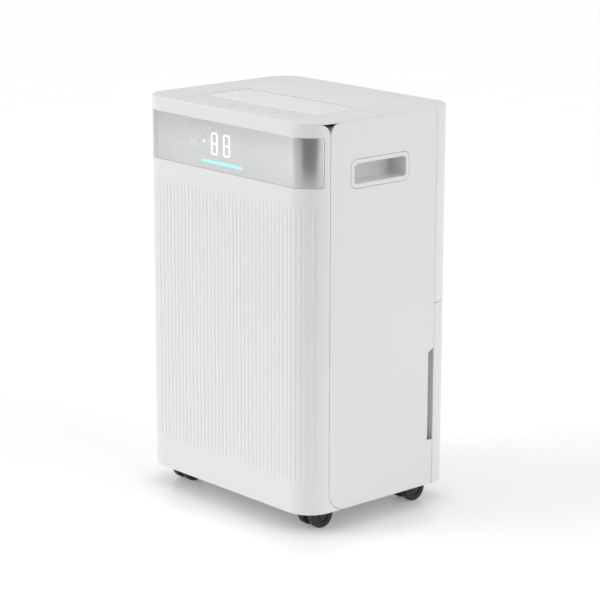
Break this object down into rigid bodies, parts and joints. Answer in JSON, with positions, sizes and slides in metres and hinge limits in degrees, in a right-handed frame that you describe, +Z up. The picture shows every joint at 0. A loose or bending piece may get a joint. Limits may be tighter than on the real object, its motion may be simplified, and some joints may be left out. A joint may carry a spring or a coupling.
{
  "type": "dehumidifier",
  "caption": "Portable compressor dehumidifier: upright white cabinet on swivel casters, ribbed front with display band, side grips, top outlet and slide-out rear water tank.",
  "frame": {"origin": "on the floor under the centre of the cabinet's plan outline", "axes": "+Z up, -Y towards the front with the display, +X to the right as seen from the front"},
  "size_m": [0.36, 0.28, 0.58],
  "materials": {
    "cover_white": "fine satin moulding",
    "band_silver": "silver-grey satin lens",
    "frame_grey": "dark grey moulding",
    "caster_black": "black nylon",
    "board_green": "solder mask",
    "led_white": "white light segments",
    "zinc_steel": "zinc plated",
    "fin_aluminium": "plain fin stock",
    "copper_tube": "soft copper",
    "black_enamel": "black enamel",
    "soft_rubber": "soft moulded rubber",
    "float_foam": "closed-cell foam",
    "spout_grey": "moulded grey",
    "filter_net": "dark nylon net"
  },
  "bodies": {
    "cabinet": {"accumulator": "black_enamel", "base_pan": "frame_grey", "base_screws": "zinc_steel", "bay_wall": "frame_grey", "blower_housing": "frame_grey", "capillary_tube": "copper_tube", "carry_bracket_left": "zinc_steel", "carry_bracket_right": "zinc_steel", "coil_frame": "zinc_steel", "compressor": "black_enamel", "compressor_bolts": "zinc_steel", "compressor_feet": "soft_rubber", "condenser": "fin_aluminium", "control_board": "board_green", "control_box": "frame_grey", "cord_gland": "cover_white", "discharge_pipe": "copper_tube", "display_board": "board_green", "display_lens": "band_silver", "drain_spigot": "spout_grey", "drip_tray": "frame_grey", "evaporator": "fin_aluminium", "fan_motor": "zinc_steel", "filter_drier": "copper_tube", "front_cover": "cover_white", "front_frame": "frame_grey", "grip_screws": "zinc_steel", "handle_cup_left": "cover_white", "handle_cup_right": "cover_white", "humidity_sensor": "board_green", "led_display": "led_white", "level_switch": "caster_black", "outlet_grille": "cover_white", "rear_cover": "cover_white", "rear_screws": "zinc_steel", "return_bends": "copper_tube", "run_capacitor": "caster_black", "side_panel_left": "cover_white", "side_panel_right": "cover_white", "suction_pipe": "copper_tube", "terminal_cap": "caster_black", "top_cover": "cover_white", "touch_board": "board_green"},
    "tank": {"water_tank": "cover_white", "tank_lid": "frame_grey"},
    "float": {"tank_float": "float_foam"},
    "filter": {"filter_frame": "cover_white", "filter_mesh": "filter_net"},
    "blower_wheel": {"fan_wheel": "frame_grey", "fan_shaft": "zinc_steel"},
    "plug": {"drain_plug": "soft_rubber"},
    "caster_fl": {"caster_fork_fl": "caster_black"},
    "wheels_fl": {"caster_wheels_fl": "caster_black"},
    "caster_fr": {"caster_fork_fr": "caster_black"},
    "wheels_fr": {"caster_wheels_fr": "caster_black"},
    "caster_rl": {"caster_fork_rl": "caster_black"},
    "wheels_rl": {"caster_wheels_rl": "caster_black"},
    "caster_rr": {"caster_fork_rr": "caster_black"},
    "wheels_rr": {"caster_wheels_rr": "caster_black"}
  },
  "joints": [
    {"name": "tank_slide", "type": "slide", "parent": "cabinet", "child": "tank", "axis": [0, 1, 0], "range_m": [0, 0.14]},
    {"name": "float_hinge", "type": "hinge", "parent": "tank", "child": "float", "pos_m": [0.06, 0.0315, 0.27], "axis": [1, 0, 0], "range_deg": [0, 12]},
    {"name": "filter_pull", "type": "slide", "parent": "cabinet", "child": "filter", "axis": [0, 1, 0], "range_m": [0, 0.06]},
    {"name": "fan_spin", "type": "hinge", "parent": "cabinet", "child": "blower_wheel", "pos_m": [0, 0, 0.4023], "axis": [0, 1, 0], "continuous": true},
    {"name": "plug_pull", "type": "slide", "parent": "cabinet", "child": "plug", "axis": [0, 1, 0], "range_m": [0, 0.03]},
    {"name": "swivel_fl", "type": "hinge", "parent": "cabinet", "child": "caster_fl", "pos_m": [-0.14, -0.098, 0.0436], "axis": [0, 0, 1], "continuous": true},
    {"name": "roll_fl", "type": "hinge", "parent": "caster_fl", "child": "wheels_fl", "pos_m": [-0.14, -0.09, 0.0195], "axis": [1, 0, 0], "continuous": true},
    {"name": "swivel_fr", "type": "hinge", "parent": "cabinet", "child": "caster_fr", "pos_m": [0.14, -0.098, 0.0436], "axis": [0, 0, 1], "continuous": true},
    {"name": "roll_fr", "type": "hinge", "parent": "caster_fr", "child": "wheels_fr", "pos_m": [0.14, -0.09, 0.0195], "axis": [1, 0, 0], "continuous": true},
    {"name": "swivel_rl", "type": "hinge", "parent": "cabinet", "child": "caster_rl", "pos_m": [-0.14, 0.098, 0.0436], "axis": [0, 0, 1], "continuous": true},
    {"name": "roll_rl", "type": "hinge", "parent": "caster_rl", "child": "wheels_rl", "pos_m": [-0.14, 0.09, 0.0195], "axis": [1, 0, 0], "continuous": true},
    {"name": "swivel_rr", "type": "hinge", "parent": "cabinet", "child": "caster_rr", "pos_m": [0.14, 0.098, 0.0436], "axis": [0, 0, 1], "continuous": true},
    {"name": "roll_rr", "type": "hinge", "parent": "caster_rr", "child": "wheels_rr", "pos_m": [0.14, 0.09, 0.0195], "axis": [1, 0, 0], "continuous": true}
  ]
}
